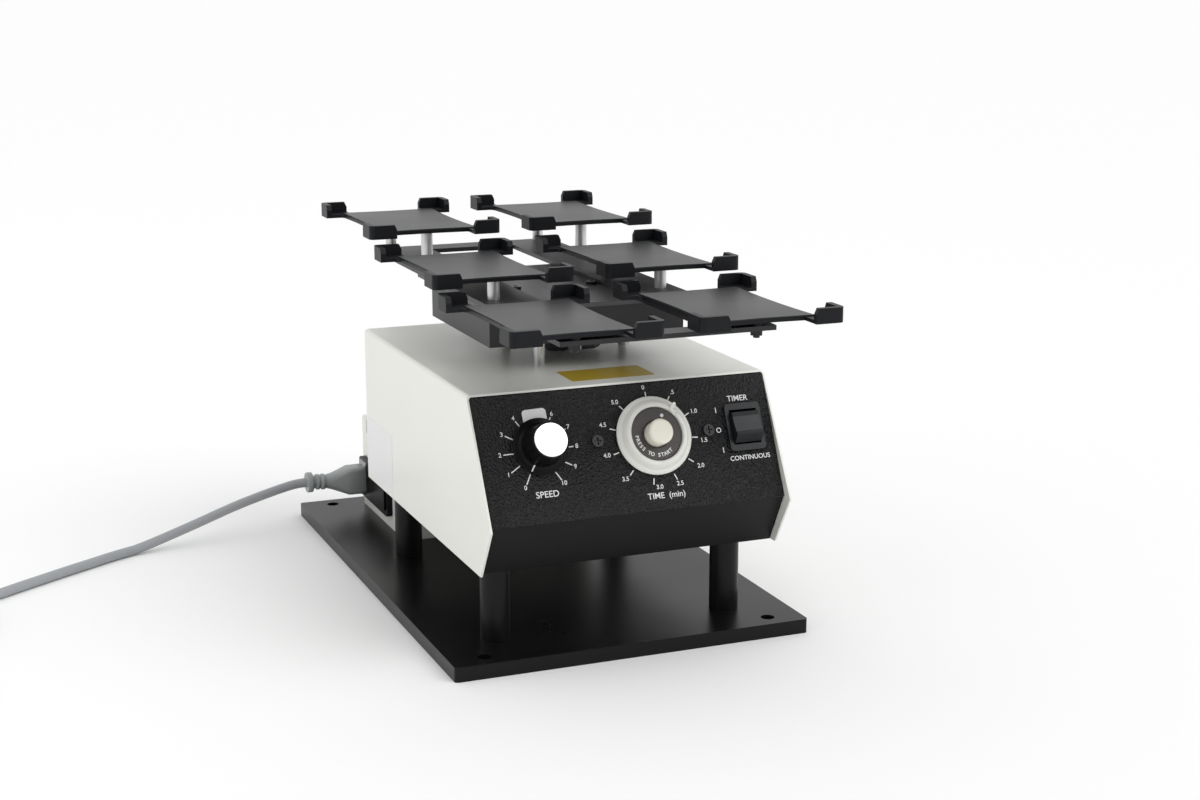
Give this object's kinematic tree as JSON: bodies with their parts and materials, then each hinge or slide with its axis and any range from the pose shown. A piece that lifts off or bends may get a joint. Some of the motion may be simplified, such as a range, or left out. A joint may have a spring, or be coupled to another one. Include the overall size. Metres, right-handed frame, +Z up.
{
  "type": "microplate shaker",
  "caption": "Orbital microplate shaker: sloped control housing on posts over a base plate, crank driven deck with stepped corner bracket plate holders, rear supply box and power lead.",
  "frame": {"origin": "middle of the base plate's underside, on the surface it stands on", "axes": "+X to the right seen from the controls, -Y towards the controls, +Z up"},
  "size_m": [0.6184, 0.4543, 0.2484],
  "materials": {
    "black_anodised": "satin black",
    "black_steel": "satin black paint",
    "panel_print": "fine leather grain, matt",
    "cream_paint": "fine textured",
    "plated_screw": "plated",
    "dark_screw": "blackened",
    "bright_steel": "ground",
    "plate_steel": "mill finish",
    "cast_dark": "machined",
    "motor_case": "dull grey",
    "bronze": "sintered bronze",
    "deck_black": "satin dark grey",
    "deck_grey": "satin grey",
    "post_satin": "satin",
    "holder_black": "moulded, fine grain",
    "pad_grey": "matt",
    "knob_black": "satin",
    "spun_silver": "spun",
    "ring_white": "satin",
    "disc_brown": "satin",
    "button_cream": "satin",
    "switch_black": "satin",
    "module_dark": "moulded",
    "board_green": "lacquered board",
    "wire_red": "insulation",
    "cord_grey": "flexible, satin",
    "connector_grey": "moulded, satin",
    "transformer_grey": "varnished laminations",
    "brass_spacer": "turned",
    "legend_white": "printed ink",
    "label_yellow": "plain film",
    "label_white": "plain film"
  },
  "bodies": {
    "housing": {"base_plate": "black_anodised", "support_posts": "black_anodised", "base_screws": "plated_screw", "chassis": "black_steel", "post_screws": "plated_screw", "front_panel": "panel_print", "cover": "cream_paint", "cover_screws": "plated_screw", "drive_plate": "plate_steel", "drive_nuts": "plated_screw", "motor": "motor_case", "motor_screws": "plated_screw", "idler_bushes": "bronze", "speed_potentiometer": "plate_steel", "potentiometer_nut": "plated_screw", "timer_body": "module_dark", "timer_screws": "dark_screw", "switch_body": "switch_black", "control_board": "board_green", "board_standoffs": "brass_spacer", "wiring": "wire_red", "supply_box": "cream_paint", "supply_box_lid": "cream_paint", "lid_screws": "dark_screw", "wire_bushing": "module_dark", "power_inlet": "module_dark", "supply_transformer": "transformer_grey", "power_connector": "connector_grey", "power_cord": "cord_grey", "cord_coil": "cord_grey", "cord_tie": "module_dark", "mains_plug": "connector_grey"},
    "drive_crank": {"crank": "cast_dark", "motor_shaft": "bright_steel"},
    "deck": {"deck_pan": "deck_black", "deck_plate": "deck_grey", "holder_frame": "deck_black", "bearing_block": "plate_steel", "deck_bearing": "bright_steel", "bearing_screws": "dark_screw", "deck_bushes": "bronze", "frame_screws": "dark_screw", "holder_posts": "post_satin", "holder_spacers": "holder_black", "front_plate_holders": "holder_black", "middle_plate_holders": "holder_black", "rear_plate_holders": "holder_black", "plate_pads": "pad_grey", "holder_screws": "dark_screw"},
    "left_idler": {"idler_left": "bright_steel"},
    "front_idler": {"idler_front": "bright_steel"},
    "right_idler": {"idler_right": "bright_steel"},
    "speed_control": {"speed_knob": "knob_black", "knob_cap": "spun_silver", "speed_shaft": "bright_steel"},
    "timer_setting": {"timer_ring": "ring_white"},
    "timer_pointer": {"timer_disc": "disc_brown"},
    "starter": {"start_button": "button_cream"},
    "rocker": {"switch_rocker": "switch_black"},
    "fuse_bay": {"fuse_drawer": "module_dark"}
  },
  "joints": [
    {"name": "drive_spin", "type": "hinge", "parent": "housing", "child": "drive_crank", "pos_m": [0.0015, -0.0496, 0.17], "axis": [0, 0, 1], "continuous": true},
    {"name": "deck_orbit", "type": "hinge", "parent": "drive_crank", "child": "deck", "pos_m": [0, -0.0496, 0.2], "axis": [0, 0, 1], "continuous": true},
    {"name": "left_idler_spin", "type": "hinge", "parent": "housing", "child": "left_idler", "pos_m": [-0.01954, -0.00646, 0.17], "axis": [0, 0, 1], "continuous": true},
    {"name": "front_idler_spin", "type": "hinge", "parent": "housing", "child": "front_idler", "pos_m": [-0.02534, -0.08939, 0.17], "axis": [0, 0, 1], "continuous": true},
    {"name": "right_idler_spin", "type": "hinge", "parent": "housing", "child": "right_idler", "pos_m": [0.04938, -0.05295, 0.17], "axis": [0, 0, 1], "continuous": true},
    {"name": "speed_turn", "type": "hinge", "parent": "housing", "child": "speed_control", "pos_m": [-0.0588, -0.17922, 0.13765], "axis": [0, 0.9024, -0.4309], "range_deg": [0, 300]},
    {"name": "timer_set_turn", "type": "hinge", "parent": "housing", "child": "timer_setting", "pos_m": [0.0164, -0.17922, 0.13765], "axis": [0, 0.9024, -0.4309], "range_deg": [-51, 269]},
    {"name": "timer_pointer_turn", "type": "hinge", "parent": "housing", "child": "timer_pointer", "pos_m": [0.0164, -0.17922, 0.13765], "axis": [0, 0.9024, -0.4309], "range_deg": [-26, 294]},
    {"name": "start_press", "type": "slide", "parent": "housing", "child": "starter", "axis": [0, 0.9024, -0.4309], "range_m": [0, 0.0025], "stiffness_N_per_m": 600, "springref_m": -0.001},
    {"name": "rocker_rock", "type": "hinge", "parent": "housing", "child": "rocker", "pos_m": [0.079, -0.17922, 0.13765], "axis": [1, 0, 0], "range_deg": [0, 22]},
    {"name": "fuse_drawer_slide", "type": "slide", "parent": "housing", "child": "fuse_bay", "axis": [-1, 0, 0], "range_m": [0, 0.02]}
  ],
  "couplings": [
    {"joint": "deck_orbit", "follows": "drive_spin", "ratio": -1},
    {"joint": "left_idler_spin", "follows": "drive_spin", "ratio": 1},
    {"joint": "front_idler_spin", "follows": "drive_spin", "ratio": 1},
    {"joint": "right_idler_spin", "follows": "drive_spin", "ratio": 1}
  ]
}
